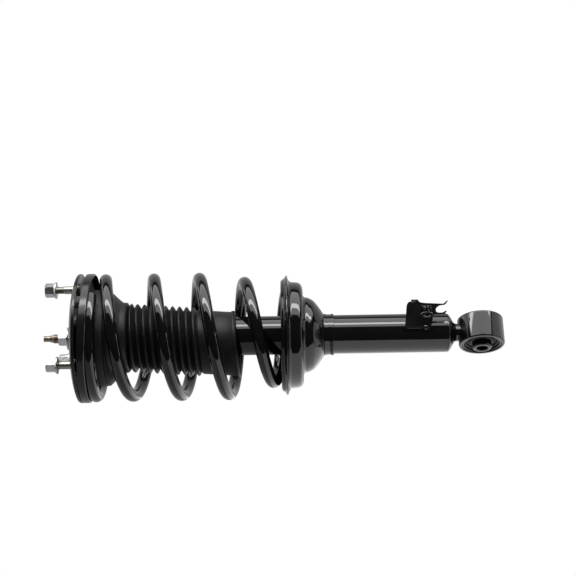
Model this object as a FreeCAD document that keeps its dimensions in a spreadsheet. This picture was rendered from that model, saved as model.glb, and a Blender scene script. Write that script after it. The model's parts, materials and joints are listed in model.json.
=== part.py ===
import FreeCAD, Part
import math
import os

import Sketcher

# Front coil-over strut for a light pickup, drawn standing up.
# Z runs along the strut axis with the upper mount at the top. The origin is the centre of the
# stud circle on the face that seats against the vehicle body. X is the lower eye's pin axis.

V = FreeCAD.Vector
document = FreeCAD.newDocument("strut_assembly")

# ------------------------------------------------------------------ driving sizes, millimetres
SIZES = {
    # upper mount plate
    "rim_r": 83.2, "plate_thick": 3.5, "face_out_r": 70.0, "rim_drop": 4.5, "rim_foot": 8.0,
    "boss_r": 21.5, "boss_top": 9.5, "boss_hole_r": 13.0,
    "stud_circle_r": 62.5, "stud_knurl_r": 5.5, "stud_shank_r": 5.0, "stud_thread_r": 4.85,
    "stud_head_r": 8.0, "stud_head_thick": 2.5, "stud_plain_len": 14.0, "stud_len": 30.0,
    "nut_flange_r": 11.0, "nut_flange_thick": 3.4, "nut_flats": 16.0, "nut_height": 14.6,
    "nut_bore_r": 4.9,
    # rubber joint between the plate and the rod
    "cup_flange_r": 48.0, "cup_r": 34.0, "cup_wall": 2.5, "cup_floor": 28.5, "cup_hole_r": 20.0,
    "sleeve_r": 10.0, "sleeve_bore_r": 6.1, "sleeve_top": 10.2, "sleeve_foot": 31.0,
    "washer_r": 14.5, "washer_thick": 1.6, "rod_nut_height": 11.6, "rod_nut_flats": 17.0,
    "stop_washer_r": 24.0, "stop_washer_thick": 3.0,
    # upper spring seat and the rubber on it
    "seat_lip_in_r": 80.7, "seat_lip_top": 8.4, "seat_lip_foot": 27.0, "seat_web_top": 13.7,
    "seat_web_foot": 16.2, "seat_hub_r": 42.5, "seat_hub_in_r": 40.0, "seat_tilt": 2.4,
    "pad_in_r": 62.0, "pad_out_r": 79.5, "pad_foot": 17.2, "collar_in_r": 58.4, "collar_foot": 40.5,
    # coil spring
    "wire_r": 8.0, "coil_r": 74.5, "coil_end_r": 56.5, "coil_start_r": 72.0,
    "coil_top": 25.2, "coil_foot": 275.9, "coil_pitch": 60.3, "coil_lean": 4.0,
    "coil_swell": 3.7,
    # dust boot
    "boot_wall": 2.0, "boot_cone_r": 61.6, "boot_cone_top": 41.0, "boot_neck_r": 45.5,
    "boot_neck_in_r": 38.0, "boot_neck_top": 59.0, "boot_neck_foot": 69.0, "boot_rib_r": 44.5,
    "boot_valley_r": 38.5, "boot_rib_pitch": 9.0, "boot_rib_top": 68.5, "boot_sleeve_r": 41.3,
    "boot_sleeve_len": 45.0, "boot_lip_r": 42.8, "boot_lip_len": 4.0, "boot_lean": 4.2,
    # bump stop
    "stop_cup_r": 27.0, "stop_cup_foot": 44.0, "bump_r": 23.5, "bump_foot": 82.0,
    # rod and piston
    "rod_r": 9.0, "rod_shoulder": 34.0, "rod_stem_r": 6.0, "rod_stem_top": 30.0,
    "rod_tip_r": 3.7, "rod_tip_top": 42.6, "rod_spigot_r": 5.5, "rod_spigot_top": 250.0,
    "rod_foot": 286.0, "piston_r": 15.4, "piston_top": 253.0, "piston_foot": 271.0,
    "band_r": 15.94, "band_groove_r": 14.6, "band_top": 257.0, "band_foot": 267.0,
    "shim_r": 12.0, "piston_nut_flats": 15.0, "rebound_r": 13.5, "rebound_top": 238.0,
    # twin-tube damper
    "tube_r": 25.0, "tube_in_r": 22.6, "tube_top": 186.0, "tube_foot": 476.0,
    "inner_r": 18.0, "inner_in_r": 16.0, "inner_top": 206.0, "inner_foot": 462.0,
    "guide_top": 200.0, "guide_foot": 216.0, "guide_bush_r": 11.0, "guide_bore_r": 9.05,
    "cap_r": 26.6, "cap_top": 183.0, "cap_hole_r": 10.5, "seal_foot": 191.0,
    "base_foot": 488.0, "base_r": 11.5, "valve_top": 448.0, "valve_r": 15.5,
    # lower spring seat
    "flange_r": 77.4, "flange_top": 270.4, "lip_top": 263.2,
    "pan_r": 68.4, "pan_thick": 2.8, "pan_foot": 291.8, "pan_hole_r": 44.8,
    "dome_r": 48.4, "ring_r": 27.0, "ring_top": 318.0, "ring_foot": 331.0, "lower_pad_thick": 4.5, "lower_pad_in_r": 49.5, "lower_pad_out_r": 59.0,
    # lower eye
    "eye_level": 521.0, "eye_r": 29.4, "eye_in_r": 25.0, "eye_len": 36.0, "eye_edge": 1.2,
    "neck_r": 11.0, "neck_top": 487.0, "neck_foot": 499.0,
    "bush_sleeve_in_r": 23.0, "bush_sleeve_len": 33.0, "bush_rubber_len": 29.0,
    "bush_rubber_in_r": 12.55, "bush_pin_r": 12.5, "bush_bore_r": 7.1, "bush_pin_len": 46.0,
    # hose bracket, measured from the tube axis along its own upright direction
    "saddle_thick": 2.5, "bracket_thick": 2.8, "bracket_near": 24.7, "bracket_foot_h": 9.0,
    "bracket_top_h": 41.0, "bracket_tip_h": 44.0, "bracket_start": 423.5, "bracket_step": 438.5,
    "bracket_end": 472.5, "hook_end": 476.0, "slot_start": 460.0, "slot_low_h": 27.0,
    "slot_high_h": 36.0, "prong_low_h": 24.2, "lobe_low_h": 4.4, "prong_top_h": 39.0, "hook_rise": 3.6,
    "clip_start": 441.0, "clip_end": 456.0, "clip_low_h": 20.5, "clip_top_h": 36.5,
    "clip_deep": 5.0, "saddle_end": 455.5, "pin_r": 3.0, "pin_level": 447.4, "pin_h": 8.2,
    "pin_thick": 1.6,
}

COUNTS = {"studs": 3, "ribs": 10}

# Directions seen from above, in degrees from +X. The eye's pin axis is +X.
FIRST_STUD_ANGLE = -26.5
NUT_LEVELS = (25.0, 17.5, 16.0)
BRACKET_ANGLE = -26.5
WELD_ANGLE = -70.0
WELD_WRAP = 14.0
COIL_START_ANGLE = 42.0
COIL_DEAD_ANGLE = 200.0
COIL_ACTIVE_ANGLE = 1660.0
COIL_END_ANGLE = 1925.0
COIL_LEAD_IN = 160.0
COIL_TUCK_END = 140.0
COIL_TAPER = (1230.0, 1760.0)
COIL_SWELL_START = (330.0, 560.0)
COIL_SWELL_END = (1100.0, 1800.0)
COIL_LEAN_START = (200.0, 1250.0)
COIL_LEAN_END = (1640.0, 1840.0)

sheet = document.addObject("Spreadsheet::Sheet", "dims")
for row, (alias, size) in enumerate(SIZES.items(), start=1):
    sheet.set(f"A{row}", alias)
    sheet.set(f"B{row}", str(size))
    sheet.setAlias(f"B{row}", alias)
document.recompute()

parts = {}


# ------------------------------------------------------------------ helpers
def size(alias):
    """A driving size, read from the sheet."""
    return float(getattr(sheet, alias))


def number(words):
    """The value of a sum of size names and plain numbers, such as 'rim_r - plate_thick'."""
    total, sign = 0.0, 1.0
    for word in words.split():
        if word in ("+", "-"):
            sign = 1.0 if word == "+" else -1.0
        else:
            total += sign * (size(word) if word in SIZES else float(word))
            sign = 1.0
    return total


def formula(words):
    """The same sum as a spreadsheet expression."""
    return " ".join(f"dims.{word}" if word in SIZES else word for word in words.split())


def plane_of(body, role):
    return next(feature for feature in body.Origin.OriginFeatures if feature.Role == role)


def new_body(name):
    return document.addObject("PartDesign::Body", f"body_{name}")


def new_sketch(body, role):
    sketch = body.newObject("Sketcher::SketchObject", f"{body.Name}_sketch")
    sketch.AttachmentSupport = [(plane_of(body, role), "")]
    sketch.MapMode = "FlatFace"
    return sketch


def bind(sketch, constraint, words):
    index = sketch.addConstraint(constraint)
    sketch.setExpression(f"Constraints[{index}]", formula(words))


def place_vertex(sketch, line, words_x, words_y):
    """Tie the start point of a line to the sketch origin, each way by its own sum of sizes."""
    for kind, words, axis in (("DistanceX", words_x, -2), ("DistanceY", words_y, -1)):
        if abs(number(words)) < 1e-9:
            sketch.addConstraint(Sketcher.Constraint("PointOnObject", line, 1, axis))
        else:
            bind(sketch, Sketcher.Constraint(kind, -1, 1, line, 1, number(words)), words)


def add_outline(sketch, corners):
    """A closed outline of straight lines through corners given as (x words, y words)."""
    spots = [V(number(x), number(y), 0) for x, y in corners]
    first = sketch.GeometryCount
    for here, there in zip(spots, spots[1:] + spots[:1]):
        sketch.addGeometry(Part.LineSegment(here, there), False)
    for step in range(len(spots)):
        following = first + (step + 1) % len(spots)
        sketch.addConstraint(Sketcher.Constraint("Coincident", first + step, 2, following, 1))
    for step, (x, y) in enumerate(corners):
        place_vertex(sketch, first + step, x, y)


def add_circle(sketch, radius_words, x_words="0", y_words="0"):
    centre = V(number(x_words), number(y_words), 0)
    circle = sketch.addGeometry(Part.Circle(centre, V(0, 0, 1), number(radius_words)), False)
    for kind, words, axis in (("DistanceX", x_words, -2), ("DistanceY", y_words, -1)):
        if abs(number(words)) < 1e-9:
            sketch.addConstraint(Sketcher.Constraint("PointOnObject", circle, 3, axis))
        else:
            bind(sketch, Sketcher.Constraint(kind, -1, 1, circle, 3, number(words)), words)
    bind(sketch, Sketcher.Constraint("Radius", circle, number(radius_words)), radius_words)


def turned(name, corners, feature="PartDesign::Revolution"):
    """A body turned about Z from an outline of (radius words, height words)."""
    body = new_body(name)
    sketch = new_sketch(body, "XZ_Plane")
    add_outline(sketch, corners)
    document.recompute()
    turn = body.newObject(feature, f"{body.Name}_turn")
    turn.Profile = sketch
    turn.ReferenceAxis = (sketch, ["V_Axis"])
    turn.Angle = 360.0
    document.recompute()
    return body


def ring(name, outer, inner, top, foot):
    """A plain ring about Z; heights are given as words, downward ones with a minus sign."""
    return turned(name, [(inner, foot), (outer, foot), (outer, top), (inner, top)])


def padded_circles(body, role, radii, length_words, both_ways=False):
    """A pad of one circle, or of a ring between two, from one of the body's origin planes."""
    sketch = new_sketch(body, role)
    for radius in radii:
        add_circle(sketch, radius)
    document.recompute()
    pad = body.newObject("PartDesign::Pad", f"{body.Name}_pad")
    pad.Profile = sketch
    pad.setExpression("Length", formula(length_words))
    if both_ways:
        pad.Midplane = True
    document.recompute()
    return pad


def hexagon_prism(name, flats, height):
    prism = document.addObject("Part::Prism", name)
    prism.Polygon = 6
    prism.setExpression("Circumradius", f"dims.{flats} / 2 / cos(30 deg)")
    prism.setExpression("Height", f"dims.{height}")
    return prism


def cylinder(name, radius, height):
    shape = document.addObject("Part::Cylinder", name)
    shape.setExpression("Radius", formula(radius))
    shape.setExpression("Height", formula(height))
    return shape


def box(name, length, width, height):
    shape = document.addObject("Part::Box", name)
    shape.setExpression("Length", formula(length))
    shape.setExpression("Width", formula(width))
    shape.setExpression("Height", formula(height))
    return shape


def fused(name, shapes):
    joined = document.addObject("Part::MultiFuse", name)
    joined.Shapes = shapes
    joined.Refine = True
    return joined


def cut(name, base, tool):
    difference = document.addObject("Part::Cut", name)
    difference.Base = base
    difference.Tool = tool
    return difference


def placed(origin, angle=0.0, axis=V(0, 0, 1)):
    return FreeCAD.Placement(origin, FreeCAD.Rotation(axis, angle))


def around(angle, radius, height):
    """A point at an angle round Z."""
    turn = math.radians(angle)
    return V(radius * math.cos(turn), radius * math.sin(turn), height)


def keep(name, item):
    """Name a finished piece after its file."""
    item.Label = name
    parts[name] = item
    return item


# ------------------------------------------------------------------ upper mount
plate = turned("mount_plate", [
    ("boss_hole_r", "boss_top - plate_thick"),
    ("boss_r - plate_thick - 2", "boss_top - plate_thick"),
    ("boss_r - plate_thick", "boss_top - plate_thick - 2"),
    ("boss_r - plate_thick", "0 - plate_thick"),
    ("face_out_r - 1", "0 - plate_thick"),
    ("rim_r - plate_thick - 1", "0 - rim_drop - plate_thick + 0.5"),
    ("rim_r - plate_thick", "0 - rim_foot"),
    ("rim_r", "0 - rim_foot"),
    ("rim_r", "0 - rim_drop - 0.5"),
    ("rim_r - 1.5", "0 - rim_drop + 0.8"),
    ("face_out_r", "0"),
    ("boss_r + 2.5", "0"),
    ("boss_r", "2.5"),
    ("boss_r", "boss_top - 3"),
    ("boss_r - 3", "boss_top"),
    ("boss_hole_r", "boss_top"),
])
holes = new_sketch(plate, "XY_Plane")
for index in range(COUNTS["studs"]):
    spot = around(FIRST_STUD_ANGLE + 120 * index, size("stud_circle_r"), 0)
    hole = holes.addGeometry(Part.Circle(spot, V(0, 0, 1), size("stud_knurl_r")), False)
    spoke = holes.addGeometry(Part.LineSegment(V(0, 0, 0), spot), True)
    holes.addConstraint(Sketcher.Constraint("Coincident", spoke, 1, -1, 1))
    holes.addConstraint(Sketcher.Constraint("Coincident", spoke, 2, hole, 3))
    bind(holes, Sketcher.Constraint("Distance", spoke, size("stud_circle_r")), "stud_circle_r")
    bind(holes, Sketcher.Constraint("Radius", hole, size("stud_knurl_r")), "stud_knurl_r")
    bearing = math.radians(FIRST_STUD_ANGLE + 120 * index)
    holes.addConstraint(Sketcher.Constraint("Angle", -1, 1, spoke, 1, bearing))
document.recompute()
pocket = plate.newObject("PartDesign::Pocket", "stud_holes")
pocket.Profile = holes
pocket.Type = "ThroughAll"
pocket.Midplane = True
document.recompute()
keep("mount_plate", plate)

stud = turned("stud", [
    ("0", "0 - plate_thick - stud_head_thick"),
    ("stud_head_r", "0 - plate_thick - stud_head_thick"),
    ("stud_head_r", "0 - plate_thick"),
    ("stud_knurl_r", "0 - plate_thick"),
    ("stud_knurl_r", "0 - 0.4"),
    ("stud_shank_r", "0"),
    ("stud_shank_r", "stud_plain_len"),
    ("stud_thread_r", "stud_plain_len + 0.3"),
    ("stud_thread_r", "stud_len - 1.2"),
    ("stud_thread_r - 1.2", "stud_len"),
    ("0", "stud_len"),
])
nut_hex = hexagon_prism("nut_hex", "nut_flats", "nut_height")
nut_flange = document.addObject("Part::Cone", "nut_flange")
nut_flange.setExpression("Radius1", "dims.nut_flange_r")
nut_flange.setExpression("Radius2", "dims.nut_flats / 2 + 0.6")
nut_flange.setExpression("Height", "dims.nut_flange_thick")
nut_bore = cylinder("nut_bore", "nut_bore_r", "nut_height")
nut = cut("nut", fused("nut_body", [nut_hex, nut_flange]), nut_bore)
document.recompute()


def copies(name, source, placements):
    """One named group holding a copy of the same piece at each placement."""
    links = []
    for index, placement in enumerate(placements):
        link = document.addObject("Part::Feature", f"{name}_{index}")
        link.Shape = source.Shape
        link.Placement = placement.multiply(source.Placement)
        links.append(link)
    group = document.addObject("Part::Compound", name)
    group.Links = links
    document.recompute()
    return keep(name, group)


stud_angles = [FIRST_STUD_ANGLE + 120 * index for index in range(COUNTS["studs"])]
stud_spots = [around(angle, size("stud_circle_r"), 0) for angle in stud_angles]
copies("mount_studs", stud,
       [placed(spot, angle) for spot, angle in zip(stud_spots, stud_angles)])
copies("stud_nuts", nut,
       [placed(spot + V(0, 0, level), angle + 20 * index)
        for index, (spot, angle, level) in enumerate(zip(stud_spots, stud_angles, NUT_LEVELS))])

keep("mount_cup", turned("mount_cup", [
    ("cup_r - cup_wall", "0 - plate_thick - cup_wall"),
    ("cup_r - cup_wall", "0 - cup_floor + cup_wall"),
    ("cup_hole_r", "0 - cup_floor + cup_wall"),
    ("cup_hole_r", "0 - cup_floor"),
    ("cup_r - 1.5", "0 - cup_floor"),
    ("cup_r", "0 - cup_floor + 1.5"),
    ("cup_r", "0 - plate_thick - cup_wall"),
    ("cup_flange_r", "0 - plate_thick - cup_wall"),
    ("cup_flange_r", "0 - plate_thick"),
    ("cup_r - cup_wall", "0 - plate_thick"),
]))
keep("mount_rubber", turned("mount_rubber", [
    ("sleeve_r", "0 - cup_floor + cup_wall + 1"),
    ("cup_r - cup_wall", "0 - cup_floor + cup_wall + 1"),
    ("cup_r - cup_wall", "0 - plate_thick - 1"),
    ("boss_r - plate_thick - 0.5", "0 - plate_thick - 1"),
    ("boss_r - plate_thick - 0.5", "boss_top - plate_thick - 3"),
    ("boss_hole_r + 1", "boss_top - plate_thick - 1"),
    ("sleeve_r", "boss_top - plate_thick - 1"),
]))
keep("mount_inner_sleeve",
     ring("mount_inner_sleeve", "sleeve_r", "sleeve_bore_r", "sleeve_top", "0 - sleeve_foot"))
keep("rod_washer", ring("rod_washer", "washer_r", "sleeve_bore_r",
                        "sleeve_top + washer_thick", "sleeve_top"))
keep("stop_washer", ring("stop_washer", "stop_washer_r", "sleeve_bore_r",
                         "0 - sleeve_foot", "0 - sleeve_foot - stop_washer_thick"))
rod_nut_hex = hexagon_prism("rod_nut_hex", "rod_nut_flats", "rod_nut_height")
rod_nut_bore = cylinder("rod_nut_bore", "sleeve_bore_r", "rod_nut_height")
rod_nut = cut("rod_nut", rod_nut_hex, rod_nut_bore)
rod_nut.Placement = placed(V(0, 0, number("sleeve_top + washer_thick")), 12)
keep("rod_nut", rod_nut)

# ------------------------------------------------------------------ upper spring seat
seat_blank = turned("upper_spring_seat_blank", [
    ("seat_hub_in_r", "0 - seat_web_foot"),
    ("seat_lip_in_r", "0 - seat_web_foot"),
    ("seat_lip_in_r", "0 - seat_lip_foot"),
    ("rim_r", "0 - seat_lip_foot"),
    ("rim_r", "0 - seat_lip_top"),
    ("seat_lip_in_r", "0 - seat_lip_top"),
    ("seat_lip_in_r", "0 - seat_web_top"),
    ("seat_hub_r", "0 - seat_web_top"),
    ("seat_hub_r", "0 - plate_thick - cup_wall - 0.5"),
    ("seat_hub_in_r", "0 - plate_thick - cup_wall - 0.5"),
])


def tilted_ring(name, inner, outer, height, level):
    """A tall ring whose faces lean away from the upright stud, used to trim the seat's lip."""
    wall = cut(name, cylinder(f"{name}_outer", outer, height),
               cylinder(f"{name}_inner", inner, height))
    lean_axis = around(FIRST_STUD_ANGLE + 90, 1, 0)
    wall.Placement = placed(V(0, 0, level), size("seat_tilt"), lean_axis)
    return wall


MIDDLE_TOP = -11.7
MIDDLE_FOOT = -21.8
TRIM = "20"
trim_top = tilted_ring("trim_top", "seat_lip_in_r - 1.5", "rim_r + 5", TRIM, MIDDLE_TOP)
trim_foot = tilted_ring("trim_foot", "seat_lip_in_r - 1.5", "rim_r + 5", TRIM,
                        MIDDLE_FOOT - float(TRIM))
upper_seat = cut("upper_seat", seat_blank, fused("trim", [trim_top, trim_foot]))
keep("upper_spring_seat", upper_seat)

keep("upper_insulator", turned("upper_insulator", [
    ("collar_in_r", "0 - seat_web_foot"),
    ("collar_in_r", "0 - collar_foot"),
    ("pad_in_r - 0.6", "0 - collar_foot"),
    ("pad_in_r", "0 - collar_foot + 1"),
    ("pad_in_r", "0 - pad_foot"),
    ("pad_out_r", "0 - pad_foot"),
    ("pad_out_r", "0 - seat_web_foot"),
]))


# ------------------------------------------------------------------ coil spring
def smooth(value, start, end):
    """0 at the start, 1 at the end, with level ends."""
    ratio = min(max((value - start) / (end - start), 0.0), 1.0)
    return ratio * ratio * (3 - 2 * ratio)


def coil_level(angle):
    """Height of the wire's centre: a dead coil, an active stretch of even pitch, a closing coil."""
    slope = size("coil_pitch") / 360.0
    lead_end = COIL_DEAD_ANGLE + COIL_LEAD_IN
    if angle <= COIL_DEAD_ANGLE:
        return -size("coil_top")
    if angle <= lead_end:
        run = angle - COIL_DEAD_ANGLE
        return -size("coil_top") - slope * run * run / (2 * COIL_LEAD_IN)
    level = size("coil_top") + slope * COIL_LEAD_IN / 2
    if angle <= COIL_ACTIVE_ANGLE:
        return -level - slope * (angle - lead_end)
    level += slope * (COIL_ACTIVE_ANGLE - lead_end)
    lead_out = COIL_END_ANGLE - COIL_ACTIVE_ANGLE
    run = (angle - COIL_ACTIVE_ANGLE) / lead_out
    bend = slope * lead_out - (size("coil_foot") - level)
    return -level - slope * lead_out * run + bend * run * run


def coil_lean(angle):
    """The free coils hang a little lower and lean over towards the upright stud."""
    swell = smooth(angle, *COIL_SWELL_START) * (1 - smooth(angle, *COIL_SWELL_END))
    share = smooth(angle, *COIL_LEAN_START) * (1 - smooth(angle, *COIL_LEAN_END))
    lean = size("coil_lean") * share * math.cos(math.radians(angle))
    return lean - size("coil_swell") * swell


def coil_radius(angle):
    """Radius of the wire's centre: slightly tucked in at the start, tapered over the last coils."""
    start = size("coil_start_r")
    full = size("coil_r")
    end = size("coil_end_r")
    tuck = (start - full) * (1 - smooth(angle, COIL_START_ANGLE, COIL_TUCK_END))
    return full + tuck + (end - full) * smooth(angle, *COIL_TAPER)


def coil_point(angle):
    """Right-handed: the angle grows clockwise seen from above while the wire goes down."""
    return around(FIRST_STUD_ANGLE - angle, coil_radius(angle), coil_level(angle) + coil_lean(angle))


STEP = 15.0
steps = int((COIL_END_ANGLE - COIL_START_ANGLE) / STEP)
stations = [COIL_START_ANGLE + (COIL_END_ANGLE - COIL_START_ANGLE) * i / steps
            for i in range(steps + 1)]
path = Part.BSplineCurve()
path.interpolate([coil_point(angle) for angle in stations])
spine = Part.Wire([path.toShape()])
section = Part.Wire([Part.Circle(coil_point(stations[0]), path.tangent(path.FirstParameter)[0],
                                 size("wire_r")).toShape()])
spring = document.addObject("Part::Feature", "coil_spring_wire")
spring.Shape = spine.makePipeShell([section], True, True)
keep("coil_spring", spring)

# ------------------------------------------------------------------ dust boot
neck = turned("dust_boot_neck", [
    ("boot_cone_r - boot_wall", "0 - boot_cone_top"),
    ("boot_neck_in_r + 1", "0 - boot_neck_top - 1.5"),
    ("boot_neck_in_r", "0 - boot_neck_foot"),
    ("boot_neck_r", "0 - boot_neck_foot"),
    ("boot_neck_r", "0 - boot_neck_top - 1.5"),
    ("boot_cone_r", "0 - boot_cone_top - 1.5"),
    ("boot_cone_r", "0 - boot_cone_top"),
])
outside, inside = [], []
for rib in range(COUNTS["ribs"]):
    down = f"0 - boot_rib_top - {rib * size('boot_rib_pitch')}"
    outside += [("boot_valley_r", down),
                ("boot_rib_r", f"{down} - 3.4"),
                ("boot_rib_r", f"{down} - 5.6")]
    inside += [("boot_valley_r - boot_wall", f"{down} - 0.3"),
               ("boot_rib_r - boot_wall", f"{down} - 4"),
               ("boot_rib_r - boot_wall", f"{down} - 5")]
end = COUNTS["ribs"] * size("boot_rib_pitch")
down = f"0 - boot_rib_top - {end}"
outside += [("boot_sleeve_r", down),
            ("boot_sleeve_r", f"{down} - boot_sleeve_len"),
            ("boot_lip_r", f"{down} - boot_sleeve_len"),
            ("boot_lip_r", f"{down} - boot_sleeve_len - boot_lip_len")]
inside += [("boot_sleeve_r - boot_wall", f"{down} - 1"),
           ("boot_sleeve_r - boot_wall", f"{down} - boot_sleeve_len - boot_lip_len")]
outside[0] = ("boot_neck_in_r + 4", "0 - boot_neck_foot + 2")
inside[0] = ("boot_neck_in_r + 2", "0 - boot_neck_foot + 2")
bellows = turned("dust_boot_bellows", outside + inside[::-1])
pivot = V(0, 0, -number("boot_neck_foot - 3"))
lean = FreeCAD.Placement(V(0, 0, 0),
                         FreeCAD.Rotation(around(FIRST_STUD_ANGLE + 90, 1, 0), size("boot_lean")),
                         pivot)
bellows.Placement = lean
keep("dust_boot", fused("boot", [neck, bellows]))

# ------------------------------------------------------------------ bump stop
keep("bump_stop_cup", turned("bump_stop_cup", [
    ("rod_stem_r + 0.3", "0 - rod_shoulder - 2"),
    ("rod_stem_r + 0.3", "0 - rod_shoulder"),
    ("stop_cup_r", "0 - rod_shoulder"),
    ("stop_cup_r", "0 - stop_cup_foot"),
    ("stop_cup_r - 2", "0 - stop_cup_foot"),
    ("stop_cup_r - 2", "0 - rod_shoulder - 2"),
]))
keep("bump_stop", turned("bump_stop", [
    ("rod_r + 0.6", "0 - rod_shoulder - 2.2"),
    ("bump_r", "0 - rod_shoulder - 2.2"),
    ("bump_r", "0 - rod_shoulder - 16"),
    ("bump_r - 4", "0 - rod_shoulder - 20"),
    ("bump_r - 1", "0 - rod_shoulder - 26"),
    ("bump_r - 1", "0 - rod_shoulder - 32"),
    ("bump_r - 6", "0 - rod_shoulder - 37"),
    ("bump_r - 5", "0 - rod_shoulder - 43"),
    ("bump_r - 9", "0 - bump_foot"),
    ("rod_r + 0.6", "0 - bump_foot"),
]))

# ------------------------------------------------------------------ rod and piston
keep("piston_rod", turned("piston_rod", [
    ("0", "0 - rod_foot"),
    ("rod_spigot_r", "0 - rod_foot"),
    ("rod_spigot_r", "0 - rod_spigot_top"),
    ("rod_r", "0 - rod_spigot_top"),
    ("rod_r", "0 - rod_shoulder - 3"),
    ("rod_r", "0 - rod_shoulder - 2"),
    ("rod_stem_r", "0 - rod_shoulder - 2"),
    ("rod_stem_r", "rod_stem_top - 1"),
    ("rod_stem_r - 1", "rod_stem_top + 0.5"),
    ("rod_tip_r + 0.6", "rod_stem_top + 4"),
    ("rod_tip_r", "rod_stem_top + 5"),
    ("rod_tip_r", "rod_tip_top - 0.5"),
    ("rod_tip_r - 0.5", "rod_tip_top"),
    ("0", "rod_tip_top"),
]))
keep("rebound_stop", ring("rebound_stop", "rebound_r", "rod_r",
                          "0 - rebound_top", "0 - rebound_top - 6"))
keep("valve_shims", ring("valve_shims", "shim_r", "rod_spigot_r",
                         "0 - rod_spigot_top - 0.2", "0 - piston_top"))
keep("piston", turned("piston", [
    ("rod_spigot_r", "0 - piston_foot"),
    ("piston_r", "0 - piston_foot"),
    ("piston_r", "0 - band_foot"),
    ("band_groove_r", "0 - band_foot"),
    ("band_groove_r", "0 - band_top"),
    ("piston_r", "0 - band_top"),
    ("piston_r", "0 - piston_top"),
    ("rod_spigot_r", "0 - piston_top"),
]))
keep("piston_band", ring("piston_band", "band_r", "band_groove_r", "0 - band_top", "0 - band_foot"))
piston_nut_hex = hexagon_prism("piston_nut_hex", "piston_nut_flats", "nut_height")
piston_nut_bore = cylinder("piston_nut_bore", "rod_spigot_r", "nut_height")
piston_nut = cut("piston_nut", piston_nut_hex, piston_nut_bore)
piston_nut.Placement = placed(V(0, 0, -number("piston_foot + nut_height")))
keep("piston_nut", piston_nut)

# ------------------------------------------------------------------ damper tubes
keep("reserve_tube", ring("reserve_tube", "tube_r", "tube_in_r", "0 - tube_top", "0 - tube_foot"))
keep("top_cap", turned("top_cap", [
    ("cap_hole_r", "0 - cap_top"),
    ("cap_hole_r", "0 - cap_top - 3"),
    ("tube_r", "0 - cap_top - 3"),
    ("tube_r", "0 - cap_top - 9"),
    ("cap_r", "0 - cap_top - 9"),
    ("cap_r", "0 - cap_top - 1.5"),
    ("cap_r - 1.5", "0 - cap_top"),
]))
keep("rod_seal", ring("rod_seal", "tube_in_r", "guide_bore_r", "0 - tube_top", "0 - seal_foot"))
keep("rod_guide", turned("rod_guide", [
    ("guide_bush_r", "0 - guide_foot"),
    ("inner_in_r", "0 - guide_foot"),
    ("inner_in_r", "0 - inner_top"),
    ("tube_in_r", "0 - inner_top"),
    ("tube_in_r", "0 - seal_foot"),
    ("guide_bush_r", "0 - seal_foot"),
]))
keep("guide_bush", ring("guide_bush", "guide_bush_r", "guide_bore_r",
                        "0 - seal_foot - 1", "0 - guide_foot"))
keep("pressure_tube", ring("pressure_tube", "inner_r", "inner_in_r",
                           "0 - inner_top", "0 - inner_foot"))
keep("foot_valve", turned("foot_valve", [
    ("0", "0 - valve_top"),
    ("valve_r", "0 - valve_top"),
    ("valve_r", "0 - inner_foot"),
    ("inner_r + 1", "0 - inner_foot"),
    ("inner_r + 1", "0 - inner_foot - 8"),
    ("0", "0 - inner_foot - 8"),
]))
keep("base_cap", turned("base_cap", [
    ("0", "0 - inner_foot - 8"),
    ("tube_in_r", "0 - inner_foot - 8"),
    ("tube_in_r", "0 - tube_foot"),
    ("tube_r", "0 - tube_foot"),
    ("tube_r - 1", "0 - tube_foot - 2"),
    ("tube_r - 5", "0 - tube_foot - 5.5"),
    ("base_r + 2", "0 - base_foot + 3"),
    ("base_r", "0 - base_foot"),
    ("0", "0 - base_foot"),
]))

# ------------------------------------------------------------------ lower spring seat
keep("lower_spring_seat", turned("lower_spring_seat", [
    ("pan_hole_r", "0 - pan_foot"),
    ("pan_r - 8.4", "0 - pan_foot"),
    ("pan_r - 3.8", "0 - pan_foot + 1.5"),
    ("pan_r - 1", "0 - pan_foot + 4.7"),
    ("pan_r", "0 - pan_foot + 8.5"),
    ("pan_r", "0 - flange_top - 7"),
    ("pan_r + 1.8", "0 - flange_top - 3.8"),
    ("flange_r", "0 - flange_top - 1.2"),
    ("flange_r", "0 - flange_top"),
    ("flange_r - 4", "0 - flange_top + 2.2"),
    ("pan_r + 2.4", "0 - lip_top - 1.8"),
    ("pan_r + 0.4", "0 - lip_top"),
    ("pan_r - 1.8", "0 - lip_top - 0.4"),
    ("pan_r - pan_thick", "0 - lip_top - 2.8"),
    ("pan_r - pan_thick", "0 - pan_foot + 8.3"),
    ("pan_r - pan_thick - 1", "0 - pan_foot + 5.9"),
    ("pan_r - pan_thick - 2.8", "0 - pan_foot + 4.1"),
    ("pan_r - pan_thick - 5.6", "0 - pan_foot + pan_thick"),
    ("pan_hole_r", "0 - pan_foot + pan_thick"),
]))
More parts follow.
